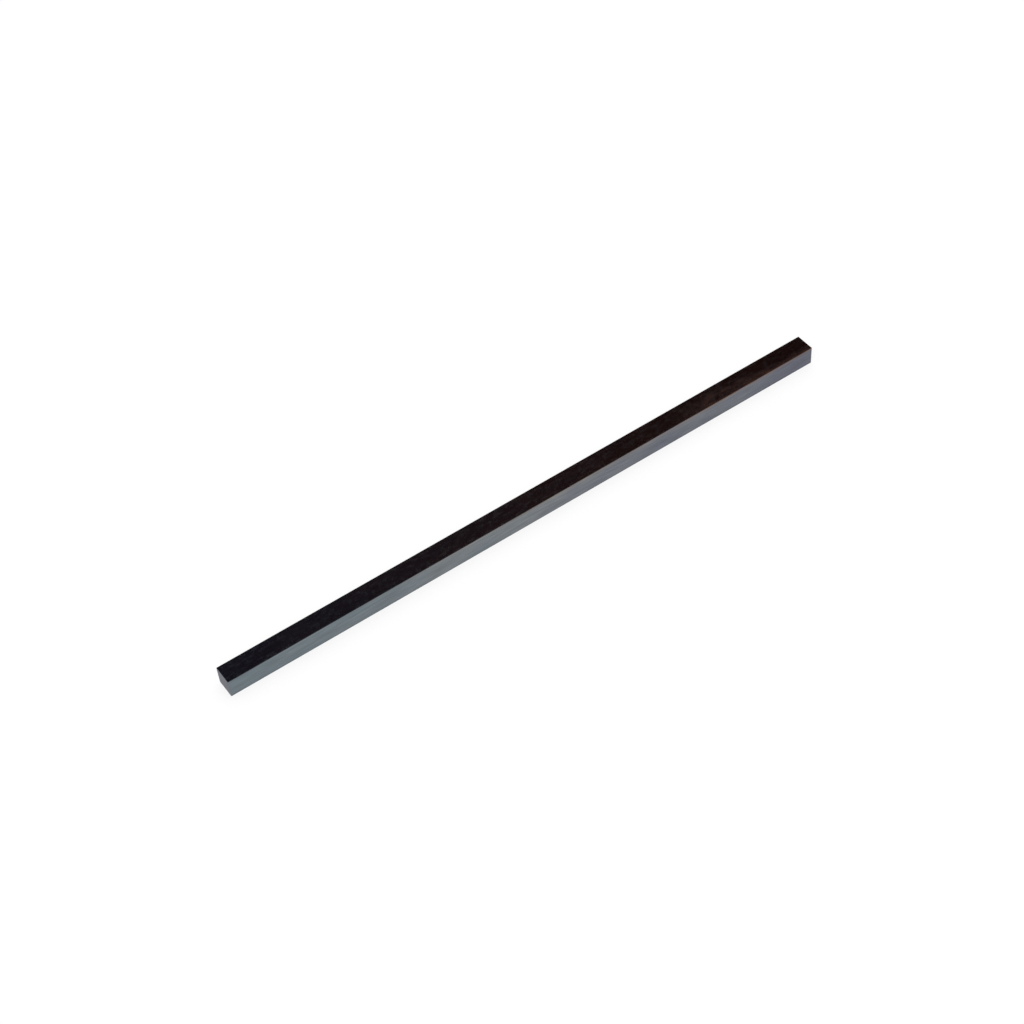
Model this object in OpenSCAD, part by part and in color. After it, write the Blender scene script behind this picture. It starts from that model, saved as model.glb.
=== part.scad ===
// Square key bar of bright-drawn steel, sawn to length and lightly deburred.
// It lies along X on its lower face, with the origin under the middle of that face.

/* [Bar] */
// Width between the two faces that bear on the keyway walls
bar_width = 9.525; // [4:0.025:25.4]
// Height from the lower face to the upper face
bar_height = 9.525; // [4:0.025:25.4]
// Length between the two sawn ends
bar_length = 304.8; // [50:0.1:914.4]

/* [Edges] */
// Radius that the drawing die leaves along the four long edges
edge_radius = 0.4; // [0.1:0.05:1.5]
// Leg of the 45 degree chamfer filed round each sawn end
end_chamfer = 0.25; // [0.05:0.05:1.5]

/* [Hidden] */
// Segments in a full circle of the edge radius
$fn = 48;

// Section of the drawn bar, standing on its lower face with its corners rounded
module drawn_section() {
    core_width = bar_width - 2 * edge_radius;
    core_height = bar_height - 2 * edge_radius;
    translate([-bar_width / 2, edge_radius])
        square([bar_width, core_height]);
    translate([-core_width / 2, 0])
        square([core_width, bar_height]);
    for (x = [-core_width / 2, core_width / 2])
        for (y = [edge_radius, bar_height - edge_radius])
            translate([x, y])
                circle(r = edge_radius);
}

// Outline of the bar seen square to one pair of faces, with its end corners chamfered
module chamfered_outline(across) {
    half_length = bar_length / 2;
    half_across = across / 2;
    chamfer_x = half_length - end_chamfer;
    chamfer_y = half_across - end_chamfer;
    polygon([
        [half_length, chamfer_y],
        [chamfer_x, half_across],
        [-chamfer_x, half_across],
        [-half_length, chamfer_y],
        [-half_length, -chamfer_y],
        [-chamfer_x, -half_across],
        [chamfer_x, -half_across],
        [half_length, -chamfer_y],
    ]);
}

// The drawn length, cut back at its ends by the outlines seen from above and from the side
module key_bar() {
    color([0.44, 0.47, 0.5])
        intersection() {
            rotate([90, 0, 90])
                linear_extrude(bar_length, center = true)
                    drawn_section();
            linear_extrude(bar_height)
                chamfered_outline(bar_width);
            translate([0, 0, bar_height / 2])
                rotate([90, 0, 0])
                    linear_extrude(bar_width, center = true)
                        chamfered_outline(bar_height);
        }
}

key_bar();
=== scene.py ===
import math

import bmesh
import bpy
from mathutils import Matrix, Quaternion, Vector


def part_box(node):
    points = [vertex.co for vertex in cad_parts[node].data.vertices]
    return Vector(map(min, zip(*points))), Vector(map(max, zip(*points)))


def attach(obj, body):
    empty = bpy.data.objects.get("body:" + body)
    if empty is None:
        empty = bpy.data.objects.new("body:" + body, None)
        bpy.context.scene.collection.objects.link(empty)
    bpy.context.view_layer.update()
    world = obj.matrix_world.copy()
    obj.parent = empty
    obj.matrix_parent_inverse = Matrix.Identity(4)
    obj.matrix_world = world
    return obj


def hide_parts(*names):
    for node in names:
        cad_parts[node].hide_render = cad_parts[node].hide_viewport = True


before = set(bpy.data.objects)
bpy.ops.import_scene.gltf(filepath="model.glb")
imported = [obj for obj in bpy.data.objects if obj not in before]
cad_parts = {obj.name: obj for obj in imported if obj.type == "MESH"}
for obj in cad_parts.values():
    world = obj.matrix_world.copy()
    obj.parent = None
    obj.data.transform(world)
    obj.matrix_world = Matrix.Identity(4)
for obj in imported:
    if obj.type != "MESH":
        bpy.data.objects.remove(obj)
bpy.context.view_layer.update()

MM = 0.001

# The bar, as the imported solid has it
bar_low, bar_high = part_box("key_bar")
bar_centre = (bar_low + bar_high) / 2
HALF_LENGTH, HALF_WIDTH, HALF_HEIGHT = (bar_high - bar_low) / 2
EDGE_RADIUS = 0.4 * MM
END_CHAMFER = 0.25 * MM

# Mesh of the bar
ARC_STEPS = 4       # over half of one rounded corner
FLAT_STEPS = 40     # across a flat face
LENGTH_STEPS = 60   # along the bar
SAWN_INDEX = 1      # of the ends' material; the rest of the bar has 0

# Saw marks on the ends: two sets of nearly level lines that drift in and out of step
SAW_PITCHES = (0.92 * MM, 1.37 * MM)
SAW_DEPTH = 0.02 * MM
SAW_WAVER = 0.8     # how far a line wanders across the face, in radians of its pitch

# Surface detail: a cell is its size along, across and up the bar, and most noise lies in the span
NOISE_SPAN = (0.3, 0.7)

# Oil film on the drawn faces, which drifts from green-grey to violet-grey along the bar; the violet-grey
# far end is also darker, which is painted shade of light falling off along the bar
GREEN_GREY = (0.155, 0.189, 0.209)
PLAIN_GREY = (0.192, 0.206, 0.221)
# Darker than the other greys: painted shade of light falling off towards the far end, besides the film's
# violet tint
SHADED_VIOLET_GREY = (0.132, 0.137, 0.171)
FILM_COOL = (-0.8, 0.0)     # along the bar, from green-grey to plain grey
FILM_VIOLET_SHADE = (0.0, 0.9)    # along the bar, from plain grey to violet-grey
FILM_CELL = (22 * MM, 9 * MM, 9 * MM)
FILM_SHIFT = (-0.3, 0.3)    # of the drift along the bar, from patch to patch
STREAK_CELL = (14 * MM, 1.2 * MM, 1.2 * MM)
STREAK_TONES = (0.84, 1.16)

# Painted warm reflection beside the two upper edges: a tint that stands in for a warm light mirrored along
# them
EDGE_REFLECTION_TINT = (1.20, 1.00, 0.86)
EDGE_REACH = 2.5 * MM       # to each side of an edge
EDGE_GROWTH = (-0.7, 0.1)   # along the bar, from none to full
EDGE_BREAK_NOISE = (0.35, 0.6)
EDGE_BREAK_STRENGTHS = (0.5, 1.0)

# Brown bloom beside the front upper edge
BLOOM_BROWN = (0.182, 0.112, 0.084)
BLOOM_CELL = (5 * MM, 2.2 * MM, 2.2 * MM)
BLOOM_START = (0.48, 0.62)      # along the bar, from none to full
BLOOM_NARROWING = (0.66, 0.82)  # along the bar, from broad to narrow
BLOOM_BROAD = 9 * MM            # over the upper face
BLOOM_NARROW = 3 * MM
BLOOM_FRONT = 0.65 * MM         # round the edge and down the front
BLOOM_RAGGED = (0.5, 1.6)       # share of its reach, from place to place
BLOOM_PATCH_NOISE = (0.36, 0.66)
BLOOM_CLOSED = 0.6              # least cover where it is narrow
BLOOM_OPAQUE = 0.6              # cover at which the film no longer shows
BLOOM_METAL = 0.88              # share of metal where the cover is full

# Haze and flecks on the drawn faces, each with the most metal that it takes away
HAZE_CELL = (6 * MM, 1.8 * MM, 1.8 * MM)
HAZE_NOISE = (0.42, 0.75)
HAZE_MOST = 0.018
FLECK_CELL = (2.4 * MM, 1.0 * MM, 1.0 * MM)
FLECK_NOISE = (0.52, 0.66)
FLECK_MOST = 0.03

# Die lines along the drawn faces
DIE_LINE_CELL = (60 * MM, 0.3 * MM, 0.3 * MM)
DIE_LINE_DEPTH = 0.006 * MM
DRAWN_ROUGHNESS = (0.16, 0.22)
DULL_ROUGHNESS = 0.25       # under the warm tint and the bloom

# Surface of the sawn ends
SAWN_GREY = (0.116, 0.121, 0.161)
SAWN_WARM_GREY = (0.133, 0.138, 0.170)
SAW_PATCH_CELL = (3 * MM, 3 * MM, 3 * MM)
SAW_LINE_CELL = (1 * MM, 8 * MM, 0.3 * MM)
SAW_LINE_DEPTH = 0.012 * MM
# Painted shading of the saw lines: colour darker in the bump's grooves and lighter on its ridges
SAW_LINE_SHADING = (0.75, 1.25)
SAWN_ROUGHNESS = (0.26, 0.36)

# Tint of all the steel where it is seen edge on, which holds its tone there
GRAZING_TINT = (0.65, 0.65, 0.65, 1.0)

# Camera, fitted to the long edges and the near end of the bar in the photograph
CAMERA_LENS = 72.856        # mm on a 36 mm sensor
CAMERA_AZIMUTH = math.radians(-31.209)
CAMERA_ELEVATION = math.radians(48.662)
CAMERA_ROLL = math.radians(-5.287)
CAMERA_DISTANCE = 0.89116
CAMERA_TARGET = Vector((-0.00632, 0.00595, 0.0))

# Light levels, where 1 renders a white surface as white
AMBIENT = 0.6
BACKGROUND = 1.0
WHITE = (1.0, 1.0, 1.0, 1.0)

# Floor
FLOOR_SIZE = 12.0
FLOOR_COLOUR = (0.92, 0.92, 0.92, 1.0)
FLOOR_GLOW = 0.8            # share of its white that doesn't depend on the lamps

# Dark card over the bar, which the upper face mirrors
CARD_SIZE = 10.0
CARD_HEIGHT = 1.0
CARD_COOL = (0.042, 0.031, 0.046)
CARD_WARM = (0.056, 0.020, 0.012)
CARD_PALE = (0.25, 0.25, 0.25)
CARD_SPAN = (0.05, 0.75)    # metres along X, from cool to warm
CARD_FRONT = (0.2, -1.5)    # metres along Y, from dark to pale


def add_node(tree, kind, values=None, **settings):
    """A new shader node with some of its settings and input values filled in."""
    node = tree.nodes.new(kind)
    for name, value in settings.items():
        setattr(node, name, value)
    for socket, value in (values or {}).items():
        feed(tree, node.inputs[socket], value)
    return node


def feed(tree, socket, value):
    """Links another node's output to a socket, or sets the socket to a plain value."""
    if isinstance(value, bpy.types.NodeSocket):
        tree.links.new(value, socket)
    else:
        socket.default_value = value


def new_material(name):
    """An empty node material, its node tree and its output node."""
    material = bpy.data.materials.new(name)
    material.use_nodes = True
    material.node_tree.nodes.clear()
    output = add_node(material.node_tree, "ShaderNodeOutputMaterial")
    return material, material.node_tree, output


def calculate(tree, operation, first, second=0.0):
    """One sum on one or two numbers, each a plain one or another node's output."""
    node = add_node(tree, "ShaderNodeMath", {0: first, 1: second}, operation=operation)
    return node.outputs[0]


def remap(tree, value, start, end, low=0.0, high=1.0):
    """The value's span from start to end, moved to low and high and held there."""
    node = add_node(tree, "ShaderNodeMapRange", {
        "Value": value, "From Min": start, "From Max": end, "To Min": low, "To Max": high})
    return node.outputs["Result"]


def mix_numbers(tree, factor, first, second):
    """A blend from the first number to the second."""
    node = add_node(tree, "ShaderNodeMix", {"Factor": factor, "A": first, "B": second})
    return node.outputs["Result"]


def mix_colours(tree, factor, first, second, blend="MIX"):
    """A blend from the first colour to the second; either may be a colour or a node's output."""
    node = add_node(tree, "ShaderNodeMix", {"Factor": factor}, data_type="RGBA", blend_type=blend)
    for name, colour in (("A", first), ("B", second)):
        socket = next(s for s in node.inputs if s.name == name and s.type == "RGBA")
        feed(tree, socket, (*colour, 1.0) if isinstance(colour, tuple) else colour)
    return next(s for s in node.outputs if s.type == "RGBA")


def stretched_noise(tree, cell, detail=2.0, roughness=0.5):
    """Noise whose cells have the given size in metres along each axis of the bar."""
    place = add_node(tree, "ShaderNodeTexCoord")
    stretch = add_node(tree, "ShaderNodeMapping", {
        "Vector": place.outputs["Object"], "Scale": [1 / size for size in cell]})
    noise = add_node(tree, "ShaderNodeTexNoise", {
        "Vector": stretch.outputs["Vector"], "Scale": 1.0, "Detail": detail, "Roughness": roughness})
    return noise.outputs["Fac"]


def place_on_object(tree):
    """Outputs X, Y and Z of a node that gives the place on the object, in metres."""
    place = add_node(tree, "ShaderNodeTexCoord")
    split = add_node(tree, "ShaderNodeSeparateXYZ", {"Vector": place.outputs["Object"]})
    return split.outputs


def along_bar(tree):
    """Place along the bar, from -1 at its near end to 1 at its far end."""
    return calculate(tree, "DIVIDE", place_on_object(tree)["X"], HALF_LENGTH)


def film_and_shade_colour(tree):
    """Colour of the oil film and painted shade: its drift along the bar, darker towards the far end,
    shifted in patches, with faint streaks.
    """
    patches = stretched_noise(tree, FILM_CELL, detail=3.0)
    drift = calculate(tree, "ADD", along_bar(tree), remap(tree, patches, *NOISE_SPAN, *FILM_SHIFT))
    cool_half = mix_colours(tree, remap(tree, drift, *FILM_COOL), GREEN_GREY, PLAIN_GREY)
    # Painted shade: the drift to violet-grey also darkens the colour towards the far end
    film = mix_colours(tree, remap(tree, drift, *FILM_VIOLET_SHADE), cool_half, SHADED_VIOLET_GREY)
    streaks = stretched_noise(tree, STREAK_CELL, detail=4.0, roughness=0.6)
    return mix_colours(tree, 1.0, film, remap(tree, streaks, *NOISE_SPAN, *STREAK_TONES), "MULTIPLY")


def edge_reflection_strength(tree):
    """Strength of the painted warm reflection beside the upper edges, from 0 to 1: broken, and growing
    towards the far end.
    """
    place = place_on_object(tree)
    inside_sides = calculate(tree, "SUBTRACT", HALF_WIDTH, calculate(tree, "ABSOLUTE", place["Y"]))
    below_top = calculate(tree, "SUBTRACT", bar_high.z, place["Z"])
    from_edge = calculate(tree, "MAXIMUM", inside_sides, below_top)
    near_edge = remap(tree, from_edge, 0.0, EDGE_REACH, 1.0, 0.0)
    breaks = stretched_noise(tree, BLOOM_CELL, detail=4.0)
    strength = remap(tree, breaks, *EDGE_BREAK_NOISE, *EDGE_BREAK_STRENGTHS)
    growth = remap(tree, along_bar(tree), *EDGE_GROWTH)
    return calculate(tree, "MULTIPLY", calculate(tree, "MULTIPLY", near_edge, strength), growth)


def brown_bloom(tree):
    """Cover of the bloom, from 0 to 1: mottled, broad where it starts and narrow at the far end."""
    place = place_on_object(tree)
    along = along_bar(tree)
    mottle = stretched_noise(tree, BLOOM_CELL, detail=5.0, roughness=0.6)
    reach = remap(tree, along, *BLOOM_NARROWING, BLOOM_BROAD, BLOOM_NARROW)
    ragged_reach = calculate(tree, "MULTIPLY", reach, remap(tree, mottle, *NOISE_SPAN, *BLOOM_RAGGED))
    behind_front = calculate(tree, "SUBTRACT", place["Y"], bar_low.y)
    below_top = calculate(tree, "SUBTRACT", bar_high.z, place["Z"])
    share_back = calculate(tree, "DIVIDE", behind_front, ragged_reach)
    share_down = calculate(tree, "DIVIDE", below_top, BLOOM_FRONT)
    spread = remap(tree, calculate(tree, "MAXIMUM", share_back, share_down), 0.0, 1.0, 1.0, 0.0)
    patches = remap(tree, mottle, *BLOOM_PATCH_NOISE)
    closed = remap(tree, along, *BLOOM_NARROWING, 0.0, BLOOM_CLOSED)
    cover = calculate(tree, "MULTIPLY", calculate(tree, "MAXIMUM", patches, closed), spread)
    return calculate(tree, "MULTIPLY", cover, remap(tree, along, *BLOOM_START))


def clouding(tree):
    """Share of metal that the haze and the flecks take away."""
    haze = stretched_noise(tree, HAZE_CELL, detail=5.0, roughness=0.6)
    flecks = stretched_noise(tree, FLECK_CELL, detail=3.0)
    hazed = remap(tree, haze, *HAZE_NOISE, 0.0, HAZE_MOST)
    flecked = remap(tree, flecks, *FLECK_NOISE, 0.0, FLECK_MOST)
    return calculate(tree, "ADD", hazed, flecked)


def drawn_steel():
    """The drawn faces and the filed chamfers: die lines, oil film with painted shade towards the far end,
    haze, painted warm edge reflection and bloom.
    """
    material, tree, output = new_material("drawn_steel")
    lines = stretched_noise(tree, DIE_LINE_CELL, detail=3.0, roughness=0.65)
    bloom = brown_bloom(tree)
    # Painted reflection: a warm tint multiplied into the colour beside the upper edges
    painted_reflection = edge_reflection_strength(tree)
    reflection_tinted = mix_colours(tree, painted_reflection, film_and_shade_colour(tree), EDGE_REFLECTION_TINT, "MULTIPLY")
    metal = remap(tree, bloom, 0.0, 1.0, 1.0, BLOOM_METAL)
    dull = calculate(tree, "MAXIMUM", bloom, painted_reflection)
    drawn = remap(tree, lines, *NOISE_SPAN, *DRAWN_ROUGHNESS)
    bump = add_node(tree, "ShaderNodeBump", {"Height": lines, "Distance": DIE_LINE_DEPTH})
    shader = add_node(tree, "ShaderNodeBsdfPrincipled", {
        "Base Color": mix_colours(tree, remap(tree, bloom, 0.0, BLOOM_OPAQUE), reflection_tinted, BLOOM_BROWN),
        "Metallic": calculate(tree, "SUBTRACT", metal, clouding(tree)),
        "Roughness": mix_numbers(tree, dull, drawn, DULL_ROUGHNESS),
        "Specular Tint": GRAZING_TINT,
        "Normal": bump.outputs["Normal"]})
    feed(tree, output.inputs["Surface"], shader.outputs["BSDF"])
    return material


def sawn_steel():
    """The two sawn ends: rougher, with the saw's fine lines across them, painted darker in their grooves
    and lighter on their ridges.
    """
    material, tree, output = new_material("sawn_steel")
    lines = stretched_noise(tree, SAW_LINE_CELL, detail=3.0, roughness=0.65)
    patches = remap(tree, stretched_noise(tree, SAW_PATCH_CELL, detail=4.0), *NOISE_SPAN)
    ground = mix_colours(tree, patches, SAWN_GREY, SAWN_WARM_GREY)
    # Painted shading: the noise that makes the grooves also darkens them and lightens the ridges
    groove_shading = remap(tree, lines, *NOISE_SPAN, *SAW_LINE_SHADING)
    bump = add_node(tree, "ShaderNodeBump", {"Height": lines, "Distance": SAW_LINE_DEPTH})
    shader = add_node(tree, "ShaderNodeBsdfPrincipled", {
        "Base Color": mix_colours(tree, 1.0, ground, groove_shading, "MULTIPLY"),
        "Metallic": 1.0,
        "Roughness": remap(tree, lines, *NOISE_SPAN, *SAWN_ROUGHNESS),
        "Specular Tint": GRAZING_TINT,
        "Normal": bump.outputs["Normal"]})
    feed(tree, output.inputs["Surface"], shader.outputs["BSDF"])
    return material


def side_places(half):
    """Places along one side of the section, from corner to corner, closer over the rounded corners."""
    flat = half - EDGE_RADIUS
    turns = [math.pi / 4 * step / ARC_STEPS for step in range(1, ARC_STEPS + 1)]
    corner = [flat + EDGE_RADIUS * math.tan(turn) for turn in turns]
    across = [flat * (2 * step / FLAT_STEPS - 1) for step in range(FLAT_STEPS + 1)]
    return [-place for place in reversed(corner)] + across + corner


def on_section(y, z):
    """The point of the rounded section that lies nearest to a point on the outline of its square."""
    core_y = max(-(HALF_WIDTH - EDGE_RADIUS), min(HALF_WIDTH - EDGE_RADIUS, y))
    core_z = max(-(HALF_HEIGHT - EDGE_RADIUS), min(HALF_HEIGHT - EDGE_RADIUS, z))
    outward = Vector((y - core_y, z - core_z)).normalized() * EDGE_RADIUS
    return core_y + outward.x, core_z + outward.y


def saw_mark(y, z):
    """Depth of the saw marks at a place on an end, from 0 to 1."""
    waver = SAW_WAVER * math.sin(math.pi * y / HALF_WIDTH)
    waves = [math.sin(2 * math.pi * z / pitch + waver) for pitch in SAW_PITCHES]
    return 0.5 + 0.5 * sum(waves) / len(waves)


def border(columns, rows):
    """Indices of the outer places of a grid, in order round it."""
    last_column, last_row = columns - 1, rows - 1
    return ([(i, 0) for i in range(last_column)]
            + [(last_column, j) for j in range(last_row)]
            + [(i, last_row) for i in range(last_column, 0, -1)]
            + [(0, j) for j in range(last_row, 0, -1)])


def make_bar():
    """The bar as one closed mesh: rings along its length, chamfers, and a grid over each sawn end."""
    ys, zs = side_places(HALF_WIDTH), side_places(HALF_HEIGHT)
    outline = border(len(ys), len(zs))
    inset_y = 1 - END_CHAMFER / HALF_WIDTH
    inset_z = 1 - END_CHAMFER / HALF_HEIGHT
    drawn_length = 2 * (HALF_LENGTH - END_CHAMFER)
    mesh = bmesh.new()

    def point(x, y, z):
        return mesh.verts.new(bar_centre + Vector((x, y, z)))

    rings = []
    for step in range(LENGTH_STEPS + 1):
        x = drawn_length * (step / LENGTH_STEPS - 0.5)
        rings.append([point(x, *on_section(ys[i], zs[j])) for i, j in outline])
    for ring, following in zip(rings, rings[1:]):
        for n in range(len(outline)):
            mesh.faces.new((ring[n - 1], ring[n], following[n], following[n - 1]))

    for side, ring in ((-1, rings[0]), (1, rings[-1])):
        grid = {}
        for i, y in enumerate(ys):
            for j, z in enumerate(zs):
                depth = 0.0 if (i, j) in outline else SAW_DEPTH * saw_mark(y, z)
                grid[i, j] = point(side * (HALF_LENGTH - depth), y * inset_y, z * inset_z)
        rim = [grid[place] for place in outline]
        for n in range(len(outline)):
            mesh.faces.new((ring[n - 1], ring[n], rim[n], rim[n - 1]))
        for i in range(len(ys) - 1):
            for j in range(len(zs) - 1):
                cell = (grid[i, j], grid[i + 1, j], grid[i + 1, j + 1], grid[i, j + 1])
                mesh.faces.new(cell).material_index = SAWN_INDEX

    bmesh.ops.recalc_face_normals(mesh, faces=mesh.faces)
    for face in mesh.faces:
        face.smooth = True
    data = bpy.data.meshes.new("steel_bar")
    mesh.to_mesh(data)
    mesh.free()
    bar = bpy.data.objects.new("steel_bar", data)
    bpy.context.scene.collection.objects.link(bar)
    bar.modifiers.new("flat_faces", "WEIGHTED_NORMAL")
    return bar


def make_plane(name, size, height):
    """A level square plane of the stage, centred over the frame's origin."""
    half = size / 2
    data = bpy.data.meshes.new(name)
    corners = [(-half, -half, 0), (half, -half, 0), (half, half, 0), (-half, half, 0)]
    data.from_pydata(corners, [], [(0, 1, 2, 3)])
    plane = bpy.data.objects.new(name, data)
    plane.location = (0, 0, height)
    bpy.context.scene.collection.objects.link(plane)
    return plane


def seen_directly(tree):
    """1 for rays from the camera, off a mirror or through glass, 0 for those that only carry light."""
    path = add_node(tree, "ShaderNodeLightPath").outputs
    camera_or_mirror = calculate(tree, "MAXIMUM", path["Is Camera Ray"], path["Is Glossy Ray"])
    return calculate(tree, "MAXIMUM", camera_or_mirror, path["Is Transmission Ray"])


def make_floor():
    """A white floor: partly its own white, partly the lamps' light, so that it keeps the bar's shadow."""
    material, tree, output = new_material("pale_floor")
    lit = add_node(tree, "ShaderNodeBsdfDiffuse", {"Color": FLOOR_COLOUR})
    white = add_node(tree, "ShaderNodeEmission", {"Strength": BACKGROUND})
    both = add_node(tree, "ShaderNodeMixShader", {
        0: calculate(tree, "MULTIPLY", seen_directly(tree), FLOOR_GLOW),
        1: lit.outputs["BSDF"], 2: white.outputs["Emission"]})
    feed(tree, output.inputs["Surface"], both.outputs["Shader"])
    make_plane("floor", FLOOR_SIZE, bar_low.z).data.materials.append(material)


def make_dark_card():
    """The dark card, which only mirrors see: cool at one end, warm at the other and paler to the front."""
    material, tree, output = new_material("dark_card")
    place = place_on_object(tree)
    dark = mix_colours(tree, remap(tree, place["X"], *CARD_SPAN), CARD_COOL, CARD_WARM)
    colour = mix_colours(tree, remap(tree, place["Y"], *CARD_FRONT), dark, CARD_PALE)
    glow = add_node(tree, "ShaderNodeEmission", {"Color": colour})
    feed(tree, output.inputs["Surface"], glow.outputs["Emission"])
    card = make_plane("dark_card", CARD_SIZE, CARD_HEIGHT)
    card.data.materials.append(material)
    card.visible_camera = False
    card.visible_diffuse = False
    card.visible_shadow = False
    card.visible_transmission = False


def make_world():
    """White wherever it is seen or mirrored, and an even ambient light on everything else."""
    world = bpy.data.worlds.new("studio")
    bpy.context.scene.world = world
    world.use_nodes = True
    tree = world.node_tree
    tree.nodes.clear()
    ambient = add_node(tree, "ShaderNodeBackground", {"Color": WHITE, "Strength": AMBIENT})
    white = add_node(tree, "ShaderNodeBackground", {"Color": WHITE, "Strength": BACKGROUND})
    both = add_node(tree, "ShaderNodeMixShader", {
        0: seen_directly(tree), 1: ambient.outputs["Background"], 2: white.outputs["Background"]})
    output = add_node(tree, "ShaderNodeOutputWorld")
    feed(tree, output.inputs["Surface"], both.outputs["Shader"])


def direction(azimuth, elevation):
    """Unit vector towards a viewer; azimuth 0 is the side of -Y, and elevation is above the floor."""
    level = math.cos(elevation)
    return Vector((math.sin(azimuth) * level, -math.cos(azimuth) * level, math.sin(elevation)))


def make_softbox(name, azimuth, elevation, spread, strength):
    """A soft lamp far off, so that it lights the whole floor evenly; angles in degrees."""
    data = bpy.data.lights.new(name, "SUN")
    data.angle = math.radians(spread)
    data.energy = strength
    lamp = bpy.data.objects.new(name, data)
    back = direction(math.radians(azimuth), math.radians(elevation))
    lamp.location = bar_centre + back
    lamp.rotation_mode = "QUATERNION"
    lamp.rotation_quaternion = (-back).to_track_quat("-Z", "Y")
    lamp.visible_glossy = False
    bpy.context.scene.collection.objects.link(lamp)


def make_camera():
    """The camera at the photograph's place."""
    data = bpy.data.cameras.new("camera")
    data.lens = CAMERA_LENS
    camera = bpy.data.objects.new("camera", data)
    back = direction(CAMERA_AZIMUTH, CAMERA_ELEVATION)
    camera.location = CAMERA_TARGET + back * CAMERA_DISTANCE
    camera.rotation_mode = "QUATERNION"
    roll = Quaternion((0, 0, 1), CAMERA_ROLL)
    camera.rotation_quaternion = (-back).to_track_quat("-Z", "Y") @ roll
    bpy.context.scene.collection.objects.link(camera)
    bpy.context.scene.camera = camera


bar = make_bar()
bar.data.materials.append(drawn_steel())
bar.data.materials.append(sawn_steel())
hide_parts("key_bar")
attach(bar, "root")

make_floor()
make_dark_card()
make_world()
make_softbox("key_softbox", azimuth=-50, elevation=50, spread=35, strength=1.25)
make_softbox("fill_softbox", azimuth=140, elevation=65, spread=45, strength=0.9)
make_camera()
bpy.context.scene.view_settings.view_transform = "Standard"
